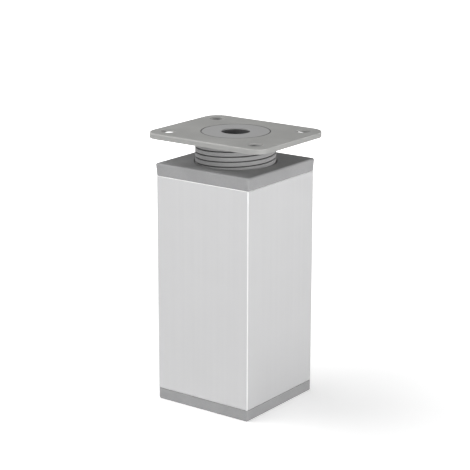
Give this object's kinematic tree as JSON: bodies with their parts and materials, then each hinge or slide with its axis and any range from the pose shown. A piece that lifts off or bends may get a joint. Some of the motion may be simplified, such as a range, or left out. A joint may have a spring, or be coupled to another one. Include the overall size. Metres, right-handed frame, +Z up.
{
  "type": "adjustable cabinet leg",
  "caption": "Square aluminium cabinet leg with moulded end caps and a threaded stem under a rectangular screw plate; turning the leg on the stem sets its height.",
  "frame": {"origin": "middle of the foot's underside, on the floor", "axes": "+Z up through the leg and its screw; X along the long side of the mounting plate"},
  "size_m": [0.051, 0.0424, 0.1],
  "materials": {
    "grey_plastic": "fine moulded grain, mid grey",
    "grey_plastic_cap": "fine moulded grain, mid grey",
    "grey_plastic_stem": "smooth moulded, mid grey",
    "satin_aluminium": "satin anodised",
    "grey_coated_steel": "matte grey coating",
    "spring_steel": "plain spring steel"
  },
  "bodies": {
    "leg": {"foot_cap": "grey_plastic", "tube": "satin_aluminium", "top_cap": "grey_plastic_cap"},
    "stop_ring": {"stop_ring": "spring_steel"},
    "head": {"threaded_stem": "grey_plastic_stem", "mounting_plate": "grey_coated_steel"}
  },
  "joints": [
    {"name": "height_rise", "type": "slide", "parent": "leg", "child": "stop_ring", "axis": [0, 0, 1], "range_m": [-0.00851, 0.01001]},
    {"name": "screw_turn", "type": "hinge", "parent": "stop_ring", "child": "head", "pos_m": [0, 0, 0.09], "axis": [0, 0, 1], "range_deg": [-850, 1000]}
  ],
  "couplings": [
    {"joint": "height_rise", "follows": "screw_turn", "m_per_rad": 0.00057296}
  ]
}
